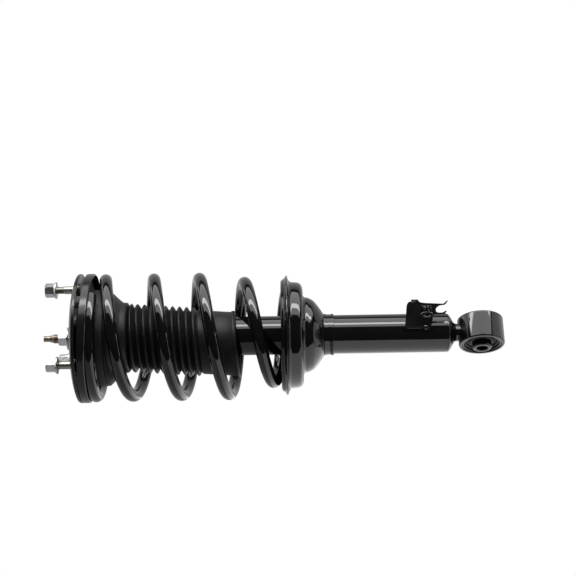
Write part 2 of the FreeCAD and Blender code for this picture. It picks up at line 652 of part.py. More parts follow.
keep("seat_dome", turned("seat_dome", [
    ("dome_r - pan_thick", "0 - pan_foot"),
    ("dome_r - pan_thick", "0 - pan_foot - 4"),
    ("dome_r - pan_thick - 0.6", "0 - pan_foot - 6.5"),
    ("dome_r - pan_thick - 2.6", "0 - pan_foot - 10.1"),
    ("dome_r - pan_thick - 5.9", "0 - pan_foot - 13.7"),
    ("dome_r - pan_thick - 9.9", "0 - pan_foot - 16.7"),
    ("dome_r - pan_thick - 15.1", "0 - pan_foot - 19.5"),
    ("tube_r", "0 - ring_top + 2.7"),
    ("tube_r", "0 - ring_top"),
    ("ring_r", "0 - ring_top"),
    ("dome_r - 16.7", "0 - pan_foot - 22.5"),
    ("dome_r - 11.2", "0 - pan_foot - 19.5"),
    ("dome_r - 6.7", "0 - pan_foot - 16"),
    ("dome_r - 2.9", "0 - pan_foot - 11.5"),
    ("dome_r - 0.7", "0 - pan_foot - 7"),
    ("dome_r", "0 - pan_foot - 4"),
    ("dome_r", "0 - pan_foot - 2.5"),
    ("dome_r + 3", "0 - pan_foot"),
]))
keep("seat_ring", turned("seat_ring", [
    ("tube_r", "0 - ring_foot"),
    ("ring_r - 0.6", "0 - ring_foot"),
    ("ring_r", "0 - ring_foot + 1"),
    ("ring_r", "0 - ring_top"),
    ("tube_r", "0 - ring_top"),
]))
keep("lower_insulator", ring("lower_insulator", "lower_pad_out_r", "lower_pad_in_r",
                             "0 - pan_foot + pan_thick + lower_pad_thick",
                             "0 - pan_foot + pan_thick"))

# ------------------------------------------------------------------ lower eye and its bush
EYE = V(0, 0, -size("eye_level"))


def eye_ring(name, outer, inner, length):
    """A ring about the eye's pin axis, centred on the eye."""
    body = new_body(name)
    padded_circles(body, "YZ_Plane", [outer, inner], length, both_ways=True)
    body.Placement = placed(EYE)
    return body


eye = eye_ring("lower_eye", "eye_r", "eye_in_r", "eye_len")
pad = eye.Tip
rims = [f"Edge{index}" for index, edge in enumerate(pad.Shape.Edges, start=1)
        if abs(getattr(edge.Curve, "Radius", 0) - size("eye_r")) < 0.01]
chamfer = eye.newObject("PartDesign::Chamfer", "eye_chamfer")
chamfer.Base = (pad, rims)
chamfer.setExpression("Size", "dims.eye_edge")
document.recompute()
keep("lower_eye", eye)

neck_blank = turned("eye_neck_blank", [
    ("0", "0 - eye_level + eye_in_r"),
    ("base_r - 0.5", "0 - eye_level + eye_in_r"),
    ("neck_r + 2", "0 - neck_foot"),
    ("neck_r", "0 - neck_foot + 5"),
    ("base_r", "0 - base_foot"),
    ("0", "0 - base_foot"),
])
neck_tool = cylinder("eye_neck_tool", "eye_r", "eye_len + 40")
neck_tool.Placement = placed(EYE - V(number("eye_len + 40") / 2, 0, 0), 90, V(0, 1, 0))
keep("eye_neck", cut("eye_neck_cut", neck_blank, neck_tool))

keep("bush_outer_sleeve",
     eye_ring("bush_outer_sleeve", "eye_in_r", "bush_sleeve_in_r", "bush_sleeve_len"))
keep("bush_rubber",
     eye_ring("bush_rubber", "bush_sleeve_in_r", "bush_rubber_in_r", "bush_rubber_len"))
keep("bush_inner_sleeve",
     eye_ring("bush_inner_sleeve", "bush_pin_r", "bush_bore_r", "bush_pin_len"))

# ------------------------------------------------------------------ hose bracket on the tube
# Drawn with X as the bracket's upright direction and -Y towards the face it shows, then turned.
upright = new_body("bracket_upright")
face = new_sketch(upright, "XZ_Plane")
add_outline(face, [
    ("bracket_foot_h", "0 - bracket_start + 2.5"),
    ("bracket_top_h - 4", "0 - bracket_start"),
    ("bracket_top_h", "0 - bracket_start - 2"),
    ("bracket_tip_h", "0 - bracket_step + 3"),
    ("bracket_tip_h", "0 - bracket_step"),
    ("prong_top_h", "0 - bracket_step - 3"),
    ("prong_top_h", "0 - bracket_end"),
    ("prong_top_h + hook_rise", "0 - hook_end + 1.5"),
    ("prong_top_h + hook_rise", "0 - hook_end"),
    ("slot_high_h", "0 - hook_end"),
    ("slot_high_h", "0 - slot_start"),
    ("slot_low_h", "0 - slot_start"),
    ("slot_low_h", "0 - bracket_end + 2"),
    ("slot_low_h + 2.4", "0 - bracket_end"),
    ("slot_low_h + 2.4", "0 - bracket_end - 2"),
    ("prong_low_h", "0 - bracket_end - 2"),
    ("prong_low_h", "0 - saddle_end - 1"),
    ("bracket_foot_h + 3", "0 - saddle_end"),
    ("lobe_low_h + 1", "0 - pin_level - 5"),
    ("lobe_low_h", "0 - pin_level - 3.5"),
    ("lobe_low_h", "0 - pin_level + 2"),
    ("bracket_foot_h - 0.4", "0 - pin_level + 5"),
])
document.recompute()
face_pad = upright.newObject("PartDesign::Pad", "bracket_upright_pad")
face_pad.Profile = face
face_pad.setExpression("Length", "dims.bracket_thick")
document.recompute()
upright.Placement = placed(V(0, -size("bracket_near"), 0))

saddle = new_body("bracket_saddle")
saddle_arc = new_sketch(saddle, "XZ_Plane")
add_outline(saddle_arc, [
    ("tube_r", "0 - saddle_end"),
    ("tube_r + saddle_thick", "0 - saddle_end"),
    ("tube_r + saddle_thick", "0 - bracket_start"),
    ("tube_r", "0 - bracket_start"),
])
document.recompute()
saddle_turn = saddle.newObject("PartDesign::Revolution", "bracket_saddle_turn")
saddle_turn.Profile = saddle_arc
saddle_turn.ReferenceAxis = (saddle_arc, ["V_Axis"])
saddle_turn.Angle = WELD_WRAP
document.recompute()
middle = saddle.Shape.CenterOfMass
swing = WELD_ANGLE - math.degrees(math.atan2(middle.y, middle.x))
saddle.Placement = placed(V(0, 0, 0), swing)
bracket = fused("bracket", [upright, saddle])
bracket.Placement = placed(V(0, 0, 0), BRACKET_ANGLE)
keep("hose_bracket", bracket)



def on_bracket(origin, angle=0.0, axis=V(1, 0, 0)):
    """A placement given in the bracket's own directions."""
    return placed(V(0, 0, 0), BRACKET_ANGLE).multiply(placed(origin, angle, axis))


clip = box("clip", "clip_top_h - clip_low_h", "clip_deep", "clip_end - clip_start")
clip_front = -number("bracket_near + bracket_thick + clip_deep")
clip.Placement = on_bracket(V(size("clip_low_h"), clip_front, -size("clip_end")))
keep("bracket_clip", clip)

rivet = cylinder("rivet", "pin_r", "pin_thick")
rivet_back = -number("bracket_near + bracket_thick")
rivet.Placement = on_bracket(V(size("pin_h"), rivet_back, -size("pin_level")), 90)
keep("bracket_pin", rivet)

# ------------------------------------------------------------------ check and write
document.recompute()
for item in document.Objects:
    if "Invalid" in item.State or "Error" in item.State:
        raise RuntimeError(f"{item.Name} did not compute: {item.State}")
os.makedirs("parts", exist_ok=True)
for name, item in parts.items():
    if item.Shape.isNull() or not item.Shape.isValid():
        raise RuntimeError(f"{name} has no valid shape")
    item.Shape.exportStep(f"parts/{name}.step")
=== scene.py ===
import json
import math

import bpy
import bmesh
from mathutils import Matrix, Vector


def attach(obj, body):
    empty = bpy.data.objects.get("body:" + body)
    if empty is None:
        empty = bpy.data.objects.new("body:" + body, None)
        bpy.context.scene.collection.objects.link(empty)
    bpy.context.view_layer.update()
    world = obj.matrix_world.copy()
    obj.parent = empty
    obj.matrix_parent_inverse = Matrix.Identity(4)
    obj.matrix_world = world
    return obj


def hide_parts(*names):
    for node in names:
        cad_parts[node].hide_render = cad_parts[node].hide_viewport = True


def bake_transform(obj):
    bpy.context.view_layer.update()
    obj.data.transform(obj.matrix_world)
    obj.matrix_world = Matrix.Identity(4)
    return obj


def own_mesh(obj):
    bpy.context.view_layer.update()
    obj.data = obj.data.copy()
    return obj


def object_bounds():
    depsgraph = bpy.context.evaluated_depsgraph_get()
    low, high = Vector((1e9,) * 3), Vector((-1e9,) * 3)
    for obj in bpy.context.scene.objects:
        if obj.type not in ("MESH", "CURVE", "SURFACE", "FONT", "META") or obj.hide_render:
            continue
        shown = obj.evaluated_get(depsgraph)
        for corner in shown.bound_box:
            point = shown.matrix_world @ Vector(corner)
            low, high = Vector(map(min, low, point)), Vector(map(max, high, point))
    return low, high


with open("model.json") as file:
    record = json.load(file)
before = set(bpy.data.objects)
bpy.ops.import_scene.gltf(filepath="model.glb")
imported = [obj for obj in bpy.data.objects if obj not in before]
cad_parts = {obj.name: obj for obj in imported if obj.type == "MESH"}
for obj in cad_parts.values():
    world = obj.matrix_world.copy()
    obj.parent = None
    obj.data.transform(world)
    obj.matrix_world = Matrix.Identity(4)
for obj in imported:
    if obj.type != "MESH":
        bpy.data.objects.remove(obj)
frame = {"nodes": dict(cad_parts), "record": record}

rest_box = [list(corner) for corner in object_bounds()]

MM = 0.001
STUD_ANGLE = -26.5                     # bearing of the upright stud from +X, degrees
bearing = math.radians(STUD_ANGLE)
UP = Vector((math.cos(bearing), math.sin(bearing), 0))       # towards the upright stud
NEAR = Vector((math.sin(bearing), -math.cos(bearing), 0))    # towards the camera
DOWN_AXIS = Vector((0, 0, -1))                               # along the strut, towards the eye
EYE_Z = -521.0                         # the lower eye's pin axis
SMOOTH_LIMIT = 32.0                    # faces meeting at less than this are shaded as one, degrees


# ---------------------------------------------------------------- materials
def nodes_of(material):
    """The material's node tree and its shader."""
    material.use_nodes = True
    tree = material.node_tree
    shader = tree.nodes["Principled BSDF"]
    return tree, shader


def put(shader, **values):
    """Set the shader's sockets, named with _ for a space."""
    for name, value in values.items():
        shader.inputs[name.replace("_", " ")].default_value = value


def noise(tree, scale, detail=3.0):
    """Object-space noise, so it stays with the piece."""
    place = tree.nodes.new("ShaderNodeTexCoord")
    texture = tree.nodes.new("ShaderNodeTexNoise")
    texture.inputs["Scale"].default_value = scale
    texture.inputs["Detail"].default_value = detail
    tree.links.new(place.outputs["Object"], texture.inputs["Vector"])
    return texture


def ramp(tree, source, low, high, dark, light):
    """Colours between dark and light as the source goes from low to high."""
    node = tree.nodes.new("ShaderNodeValToRGB")
    node.color_ramp.elements[0].position = low
    node.color_ramp.elements[1].position = high
    node.color_ramp.elements[0].color = (*dark, 1)
    node.color_ramp.elements[1].color = (*light, 1)
    tree.links.new(source, node.inputs["Fac"])
    return node.outputs["Color"]


def add_bump(tree, shader, source, strength, distance):
    """Tilt the shader's normals by the source taken as a height."""
    bump = tree.nodes.new("ShaderNodeBump")
    bump.inputs["Strength"].default_value = strength
    bump.inputs["Distance"].default_value = distance
    tree.links.new(source, bump.inputs["Height"])
    tree.links.new(bump.outputs["Normal"], shader.inputs["Normal"])


def finish(name, dark, light, rough, metal=0.0, scale=60.0, bump=0.0, bump_scale=900.0,
           bump_depth=0.00005, **extra):
    """A finish with slow colour and roughness drift and a fine bump."""
    material = bpy.data.materials.new(name)
    tree, shader = nodes_of(material)
    put(shader, Metallic=metal, **extra)
    drift = noise(tree, scale)
    tree.links.new(ramp(tree, drift.outputs["Fac"], 0.3, 0.7, dark, light),
                   shader.inputs["Base Color"])
    spread = (rough[0],) * 3, (rough[1],) * 3
    tree.links.new(ramp(tree, drift.outputs["Fac"], 0.25, 0.75, *spread),
                   shader.inputs["Roughness"])
    if bump:
        fine = noise(tree, bump_scale, detail=2.0)
        add_bump(tree, shader, fine.outputs["Fac"], bump, bump_depth)
    return material


FINISHES = {
    "black_paint": finish("GlossBlackPaint", (0.0022, 0.0022, 0.0026), (0.0034, 0.0034, 0.0040),
                          (0.05, 0.09), bump=0.02, bump_scale=260),
    "satin_paint": finish("SatinBlackCoat", (0.004, 0.004, 0.005), (0.007, 0.007, 0.008),
                          (0.15, 0.22), bump=0.06, bump_scale=1500, Specular_IOR_Level=0.4),
    "zinc": finish("BrightZinc", (0.50, 0.51, 0.53), (0.68, 0.68, 0.68), (0.24, 0.34), metal=1.0,
                   scale=220, bump=0.1, bump_scale=2600),
    "olive_zinc": finish("DullZinc", (0.26, 0.255, 0.23), (0.40, 0.39, 0.36), (0.3, 0.42),
                         metal=1.0, scale=300, bump=0.15, bump_scale=2400),
    "rod_chrome": finish("RodSteel", (0.22, 0.17, 0.13), (0.40, 0.34, 0.29), (0.25, 0.4), metal=1.0,
                         scale=250, bump=0.1, bump_scale=2200),
    "black_rubber": finish("BlackRubber", (0.006, 0.006, 0.0065), (0.011, 0.011, 0.012),
                           (0.5, 0.65), bump=0.2, bump_scale=1600),
    "boot_rubber": finish("BootRubber", (0.0045, 0.0043, 0.0050), (0.0075, 0.0072, 0.0083),
                          (0.40, 0.52), bump=0.15, bump_scale=1300, Specular_IOR_Level=0.26),
    "foam": finish("UrethaneFoam", (0.55, 0.49, 0.34), (0.70, 0.64, 0.48), (0.75, 0.9),
                   bump=0.5, bump_scale=1500, bump_depth=0.0003),
    "bare_steel": finish("MachinedSteel", (0.36, 0.36, 0.37), (0.55, 0.55, 0.56), (0.25, 0.4),
                         metal=1.0, scale=150, bump=0.15, bump_scale=1800),
    "sintered": finish("SinteredSteel", (0.20, 0.20, 0.21), (0.34, 0.34, 0.35), (0.5, 0.65),
                       metal=1.0, scale=700, bump=0.4, bump_scale=2600),
    "bearing": finish("BronzeLining", (0.42, 0.28, 0.16), (0.60, 0.44, 0.26), (0.35, 0.5),
                      metal=1.0, scale=300, bump=0.1),
    "polymer": finish("BlackPolymer", (0.012, 0.012, 0.013), (0.024, 0.024, 0.026), (0.4, 0.55),
                      bump=0.2, bump_scale=1900),
}

for entry in frame["record"]["subparts"]:
    node = frame["nodes"][entry["node"]]
    node.data.materials.clear()
    node.data.materials.append(FINISHES[entry["material_slot"]])
    node.data.shade_smooth()
    node.data.set_sharp_from_angle(angle=math.radians(SMOOTH_LIMIT))


# ---------------------------------------------------------------- mesh tools, millimetres
def rounded(corners, steps=5):
    """Corners (r, z) or (r, z, radius) with each radius turned into a short curve."""
    made = []
    count = len(corners)
    for index, corner in enumerate(corners):
        here = Vector(corner[:2])
        radius = corner[2] if len(corner) > 2 else 0.0
        before = Vector(corners[index - 1][:2]) - here
        after = Vector(corners[(index + 1) % count][:2]) - here
        reach = min(radius, before.length * 0.49, after.length * 0.49)
        if reach <= 0:
            made.append(tuple(here))
            continue
        start, end = here + before.normalized() * reach, here + after.normalized() * reach
        for step in range(steps + 1):
            share = step / steps
            made.append(tuple(start * (1 - share) ** 2 + here * 2 * share * (1 - share)
                              + end * share ** 2))
    return made


def mesh_object(name, points, faces):
    """A new object from points in millimetres, welded and with its faces turned outward."""
    mesh = bpy.data.meshes.new(name)
    mesh.from_pydata([tuple(c * MM for c in point) for point in points], [], faces)
    mesh.validate()
    built = bpy.data.objects.new(name, mesh)
    bpy.context.scene.collection.objects.link(built)
    shape = bmesh.new()
    shape.from_mesh(mesh)
    bmesh.ops.remove_doubles(shape, verts=shape.verts, dist=1e-7)
    bmesh.ops.recalc_face_normals(shape, faces=shape.faces)
    shape.to_mesh(mesh)
    shape.free()
    return built


def grid_faces(rows, columns, wrap_rows, wrap_columns):
    """Four-sided faces over rows of points, closing on themselves where they wrap."""
    faces = []
    for row in range(rows if wrap_rows else rows - 1):
        below = (row + 1) % rows
        for column in range(columns if wrap_columns else columns - 1):
            beside = (column + 1) % columns
            faces.append((row * columns + column, row * columns + beside,
                          below * columns + beside, below * columns + column))
    return faces


def lathe(name, profile, segments=160, closed=True, place=None):
    """Turn a profile about Z. profile is a list of (r, z), or a function of the angle giving one.
    place maps (angle, r, z) to a point, for bent or tilted pieces."""
    points, rows = [], 0
    for segment in range(segments):
        angle = 2 * math.pi * segment / segments
        outline = profile(angle) if callable(profile) else profile
        rows = len(outline)
        for r, z in outline:
            points.append(place(angle, r, z) if place
                          else (r * math.cos(angle), r * math.sin(angle), z))
    faces = grid_faces(segments, rows, True, closed)
    if not closed:
        for end in (0, rows - 1):
            if (profile(0) if callable(profile) else profile)[end][0] > 1e-6:
                faces.append([segment * rows + end for segment in range(segments)])
    return mesh_object(name, points, faces)


def settle(piece, body, slot, *nodes, sharp=SMOOTH_LIMIT, material=None):
    """Give a finished piece its material, from the slot's finish unless one is given, and its body,
    and hide the CAD nodes it stands for.
    A piece given no body is left unattached."""
    piece.data.materials.append(material or FINISHES[slot])
    piece.data.shade_smooth()
    piece.data.set_sharp_from_angle(angle=math.radians(sharp))
    if body:
        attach(piece, body)
    if nodes:
        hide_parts(*nodes)


def about_eye(angle, r, x):
    """Turned about the eye's pin axis instead of Z."""
    return (x, r * math.cos(angle), EYE_Z + r * math.sin(angle))


def joined(name, pieces):
    """All the pieces as one object."""
    bpy.ops.object.select_all(action="DESELECT")
    for piece in pieces:
        piece.select_set(True)
    bpy.context.view_layer.objects.active = pieces[0]
    bpy.ops.object.join()
    pieces[0].name = name
    pieces[0].data.name = name
    return pieces[0]


# ---------------------------------------------------------------- upper mount
plate = lathe("MountPlate", rounded([
    (13.0, 6.0), (16.0, 6.0, 2), (18.0, 4.0, 2), (18.0, -3.5, 1), (69.0, -3.5, 3), (78.7, -7.5, 1),
    (79.7, -8.0), (83.2, -8.0, 0.8), (83.2, -4.4, 2.6), (80.4, -3.2, 2.5), (70.0, 0.0, 5),
    (25.0, 0.0, 3), (21.5, 2.6, 2), (21.5, 6.5, 3), (18.5, 9.5, 3), (13.0, 9.5, 0.8)]))
settle(plate, "upper_mount", "satin_paint", "mount_plate", sharp=50)

MOUNT_R = 83.2                         # outer radius of the mount
LIP_TILT = math.tan(math.radians(2.4))
LIP_TOP, LIP_FOOT = -11.7, -21.8       # the seat's lip at its middle height
LIP_IN_R = 80.7
WEB_Z = -13.7                          # upper face of the seat's web


def seat_outline(angle):
    """The pressed seat: its lip is trimmed on planes that lean away from the upright stud."""
    lean = MOUNT_R * LIP_TILT * math.cos(angle - bearing)
    top, foot = LIP_TOP - lean, LIP_FOOT - lean
    shoulder = WEB_Z if top > WEB_Z + 0.2 else top - 0.2
    return rounded([
        (40.0, -6.5, 0.8), (40.0, -16.2, 2), (LIP_IN_R, -16.2), (LIP_IN_R, foot),
        (81.6, foot, 0.4), (MOUNT_R, foot + 1.6, 2), (MOUNT_R, top - 0.6, 1.2), (82.4, top, 0.6),
        (LIP_IN_R, top, 0.5), (LIP_IN_R, shoulder, 0.3), (42.5, WEB_Z, 2), (42.5, -6.5, 0.8)])


settle(lathe("UpperSpringPan", seat_outline), "upper_mount", "satin_paint",
       "upper_spring_seat", sharp=50)
settle(lathe("UpperInsulator", rounded([
    (58.4, -16.2), (58.4, -40.5, 0.6), (62.0, -40.5, 1.4), (62.0, -17.2, 1.5), (79.5, -17.2, 0.4),
    (79.5, -16.2)])), "upper_mount", "black_rubber", "upper_insulator")


def threaded(name, profile_ends, radius, pitch, depth, segments=48, per_turn=8):
    """A threaded bar between two heights, with plain stretches and tapered ends.
    profile_ends is a list of (z, radius) below the thread and above it."""
    below, above = profile_ends
    start, end = below[-1][0], above[0][0]
    rings = [(z, r, 0.0) for z, r in below]
    count = int((end - start) / pitch * per_turn)
    for step in range(1, count):
        z = start + (end - start) * step / count
        fade = min(1.0, (z - start) / pitch, (end - z) / pitch)
        rings.append((z, radius, fade))
    rings += [(z, r, 0.0) for z, r in above]

    def outline(angle):
        made = [(0.0, rings[0][0])]
        for z, r, fade in rings:
            turn = (z / pitch - angle / (2 * math.pi)) % 1.0
            cut = 1 - abs(2 * turn - 1)
            made.append((r - depth * fade * min(1.0, cut * 1.3), z))
        made.append((0.0, rings[-1][0]))
        return made

    return lathe(name, outline, segments=segments, closed=False)


def hex_nut(name, flats, height, bore, flange_r=0.0, flange_h=0.0, segments=120):
    """A hexagon nut with chamfered corners, on a cone flange where it has one."""
    apothem = flats / 2
    corner = apothem / math.cos(math.pi / 6)

    def outline(angle):
        turn = (angle + math.pi / 6) % (math.pi / 3) - math.pi / 6
        side = apothem / math.cos(turn)
        foot = flange_h * 0.9 if flange_r else 0.0
        made = [(bore, 0.6), (bore + 0.6, 0.0)]
        if flange_r:
            made += [(flange_r - 0.3, 0.0), (flange_r, 0.3), (flange_r, 1.0),
                     (flange_r - 0.5, 1.5), (apothem + 1.2, foot)]
            made += [(side, foot + 0.5)]
        else:
            made += [(apothem - 0.3, 0.0), (min(side, apothem + 0.4), 0.35),
                     (side, 0.35 + (corner - apothem) * 0.5)]
        reach = (corner - apothem) * 0.62
        for share in (0.0, 0.25, 0.5, 0.75, 1.0):
            limit = corner - (corner - apothem + 0.5) * share
            made.append((min(side, limit), height - reach * (1 - share) - 0.25 * (1 - share)))
        made += [(apothem - 1.4, height), (bore + 0.7, height), (bore, height - 0.7)]
        return made

    return lathe(name, outline, segments=segments)


STUD_CIRCLE_R = 62.5
STUD_BELOW = [(-6.0, 8.0), (-3.5, 8.0), (-3.5, 5.5), (-0.2, 5.5), (0.0, 5.0), (14.0, 5.0),
              (14.3, 4.85)]
STUD_TIP = [(28.6, 4.6), (30.0, 3.7)]
NUT_LEVELS = (25.0, 17.5, 16.0)        # undersides of the nuts, as far as each is screwed on
NUT_TURN, NUT_TURN_STEP = 30, 20       # turn of the first nut and of each further one, degrees

studs, nuts = [], []
for index, level in enumerate(NUT_LEVELS):
    angle = math.radians(STUD_ANGLE + 120 * index)
    spot = Vector((STUD_CIRCLE_R * math.cos(angle), STUD_CIRCLE_R * math.sin(angle), 0)) * MM
    stud = threaded(f"Stud{index}", (STUD_BELOW, STUD_TIP), radius=4.85, pitch=1.5, depth=0.75)
    stud.data.transform(Matrix.Translation(spot))
    studs.append(stud)
    nut = hex_nut(f"Nut{index}", flats=16.0, height=14.6, bore=4.9, flange_r=11.0, flange_h=3.4)
    turn = Matrix.Rotation(angle + math.radians(NUT_TURN + NUT_TURN_STEP * index), 4, "Z")
    nut.data.transform(Matrix.Translation(spot + Vector((0, 0, level * MM))) @ turn)
    nuts.append(nut)
settle(joined("MountStuds", studs), "upper_mount", "olive_zinc", "mount_studs", sharp=60)
settle(joined("StudNuts", nuts), "upper_mount", "zinc", "stud_nuts", sharp=30)

ROD_NUT_LEVEL, ROD_NUT_TURN = 11.8, 42
rod_nut = hex_nut("RodNut", flats=17.0, height=11.6, bore=6.1)
rod_nut.data.transform(Matrix.Translation((0, 0, ROD_NUT_LEVEL * MM))
                       @ Matrix.Rotation(math.radians(ROD_NUT_TURN), 4, "Z"))
settle(rod_nut, "upper_mount", "zinc", "rod_nut", sharp=30)
ROD_BELOW = [(-286.0, 5.5), (-250.0, 5.5), (-250.0, 9.0), (-37.0, 9.0), (-36.0, 8.4),
             (-36.0, 6.0), (8.0, 6.0)]
ROD_TIP = [(29.4, 5.8), (30.5, 5.0), (34.0, 4.3), (35.0, 3.7), (42.1, 3.7), (42.6, 3.2)]
rod = threaded("PistonRod", (ROD_BELOW, ROD_TIP), radius=6.0, pitch=1.25, depth=0.6)
settle(rod, "upper_mount", "rod_chrome", "piston_rod", sharp=60)


# ---------------------------------------------------------------- coil spring
# angles along the wire, in degrees: where it starts, where the dead coil and its lead-in end,
# where the even pitch ends, and where it ends
COIL = {"start": 42.0, "dead": 200.0, "lead": 160.0, "active": 1660.0, "end": 1925.0}
COIL_TOP, COIL_FOOT = 25.2, 275.9      # depth of the wire's centre at its two ends
PITCH = 60.3                           # of one open coil
WIRE = 8.0                             # radius of the wire
COIL_R = 72.0                          # radius of the wire's centre line where it starts
COIL_OPEN, COIL_TAPER = 2.5, 18.0      # growth after the start, and shrinkage into the lower pan
LEAN, SWELL = 4.0, 3.7                 # the open coils' tilt and sag
SEAT_TURN = 60                         # the last of the wire that lies flat on its seat


def smooth(value, start, end):
    """From 0 to 1 as value goes from start to end, without a kink."""
    ratio = min(max((value - start) / (end - start), 0.0), 1.0)
    return ratio * ratio * (3 - 2 * ratio)


def coil_level(angle):
    """Height of the wire's centre: a dead coil, an active stretch of even pitch, a closing coil."""
    slope = PITCH / 360.0
    if angle <= COIL["dead"]:
        return -COIL_TOP
    even = COIL["dead"] + COIL["lead"]
    if angle <= even:
        return -COIL_TOP - slope * (angle - COIL["dead"]) ** 2 / (2 * COIL["lead"])
    level = COIL_TOP + slope * COIL["lead"] / 2
    if angle <= COIL["active"]:
        return -level - slope * (angle - even)
    level += slope * (COIL["active"] - even)
    lead_out = COIL["end"] - COIL["active"]
    run = (angle - COIL["active"]) / lead_out
    bend = slope * lead_out - (COIL_FOOT - level)
    return -level - slope * lead_out * run + bend * run * run


def coil_radius(angle):
    """The coils open a little after the start and taper into the lower pan."""
    opened = COIL_OPEN * smooth(angle, COIL["start"], 140)
    return COIL_R + opened - COIL_TAPER * smooth(angle, 1230, 1760)


def coil_point(angle):
    """The wire's centre, with the open coils' lean and swell."""
    turn = bearing - math.radians(angle)
    radius = coil_radius(angle)
    share = smooth(angle, 200, 1250) * (1 - smooth(angle, 1640, 1840))
    swell = smooth(angle, 330, 560) * (1 - smooth(angle, 1100, 1800))
    lean = LEAN * share * math.cos(math.radians(angle)) - SWELL * swell
    return Vector((radius * math.cos(turn), radius * math.sin(turn), coil_level(angle) + lean))


def build_spring(around=36, step=3.0):
    """The wire as rings along the coil, with flat cut ends; also each point's share of travel."""
    run = COIL["end"] - COIL["start"]
    count = int(run / step)
    stations = [COIL["start"] + run * index / count for index in range(count + 1)]
    top, foot = coil_level(COIL["dead"]), coil_level(COIL["end"] - SEAT_TURN)
    cut = 0.9                          # size of the cut faces inside their rounded rims
    rings = [(stations[0], cut), *((angle, 1.0) for angle in stations), (stations[-1], cut)]
    points, shares = [], []
    for angle, size in rings:
        centre = coil_point(angle)
        ahead = (coil_point(angle + 0.5) - coil_point(angle - 0.5)).normalized()
        outward = Vector((centre.x, centre.y, 0)).normalized()
        side = ahead.cross(outward).normalized()
        outward = side.cross(ahead).normalized()
        share = min(max((centre.z - top) / (foot - top), 0.0), 1.0)
        for index in range(around):
            turn = 2 * math.pi * index / around
            points.append(centre + (outward * math.cos(turn) + side * math.sin(turn)) * WIRE * size)
            shares.append(share)
    faces = grid_faces(len(rings), around, False, True)
    faces.append(list(range(around)))
    faces.append([(len(rings) - 1) * around + index for index in range(around)])
    return points, faces, shares


def spring_object():
    """The spring as one mesh, attached to no body."""
    points, faces, shares = build_spring()
    mesh = bpy.data.meshes.new("CoilSpring")
    mesh.from_pydata([tuple(point * MM) for point in points], [], faces)
    built = bpy.data.objects.new("CoilSpring", mesh)
    bpy.context.scene.collection.objects.link(built)
    settle(built, None, "black_paint", "coil_spring", sharp=40)
    # The upper cut face takes the lighter bare steel instead of the black paint: a painted
    # reflection of the light that face catches.
    built.data.materials.append(FINISHES["bare_steel"])
    mesh.polygons[len(faces) - 2].material_index = 1
    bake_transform(built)


spring_object()


# ---------------------------------------------------------------- dust boot
BOOT_LEAN = math.tan(math.radians(4.2))
BOOT_PIVOT = -66.0                     # the boot leans below this height
LEAN_RUN = 12.0                        # and has its full lean this far below it
RIBS, RIB_PITCH, RIB_STEPS = 10, 9.0, 12
RIB_TOP, RIB_CREST, RIB_VALLEY = -68.6, 44.4, 38.6
RIB_SHARPNESS = 0.75


def boot_place(angle, r, z):
    """The bellows hang out of line, down to the side away from the upright stud."""
    drop = max(0.0, BOOT_PIVOT - z)
    shift = -drop * BOOT_LEAN
    turned = angle + bearing
    rise = r * math.cos(angle) * BOOT_LEAN * min(1.0, drop / LEAN_RUN)
    return (r * math.cos(turned) + shift * UP.x, r * math.sin(turned) + shift * UP.y, z + rise)


def boot_outline():
    """The boot's section: a flared top, ribs, a plain skirt and its lip, then the inside."""
    outer = [(61.6, -41.0), (61.6, -43.0), (58.5, -46.5), (52.0, -53.0), (47.0, -58.8),
             (45.5, -61.0), (45.2, -66.0), (42.5, -68.2)]
    for rib in range(RIBS):
        start = RIB_TOP - rib * RIB_PITCH
        for step in range(RIB_STEPS):
            phase = step / RIB_STEPS
            swell = (0.5 - 0.5 * math.cos(2 * math.pi * phase)) ** RIB_SHARPNESS
            outer.append((RIB_VALLEY + (RIB_CREST - RIB_VALLEY) * swell, start - RIB_PITCH * phase))
    foot = RIB_TOP - RIBS * RIB_PITCH
    outer += [(39.6, foot), (41.0, foot - 1.0), (41.3, foot - 2.5), (41.2, foot - 30.0),
              (41.3, foot - 43.5), (42.6, foot - 44.6), (42.8, foot - 46.0), (42.6, foot - 48.4),
              (41.6, foot - 49.0), (39.3, foot - 49.0), (39.3, foot - 2.0), (37.4, foot)]
    inner = [(37.4, foot + 3), (37.4, -70.0), (38.0, -66.0), (43.5, -58.0), (59.6, -41.0)]
    return outer + inner


boot = lathe("DustBoot", boot_outline(), place=boot_place, segments=144)
settle(boot, "upper_mount", "boot_rubber", "dust_boot", sharp=70)
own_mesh(boot)

stop = lathe("BumpStop", rounded([
    (9.6, -36.2), (23.5, -36.2, 1), (23.5, -50.0, 3), (19.5, -54.0, 3), (22.5, -60.0, 3),
    (22.5, -66.0, 3), (17.5, -71.0, 3), (18.5, -77.0, 3), (14.5, -82.0, 2), (9.6, -82.0, 1)]))
settle(stop, "upper_mount", "foam", "bump_stop", sharp=60)
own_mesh(stop)

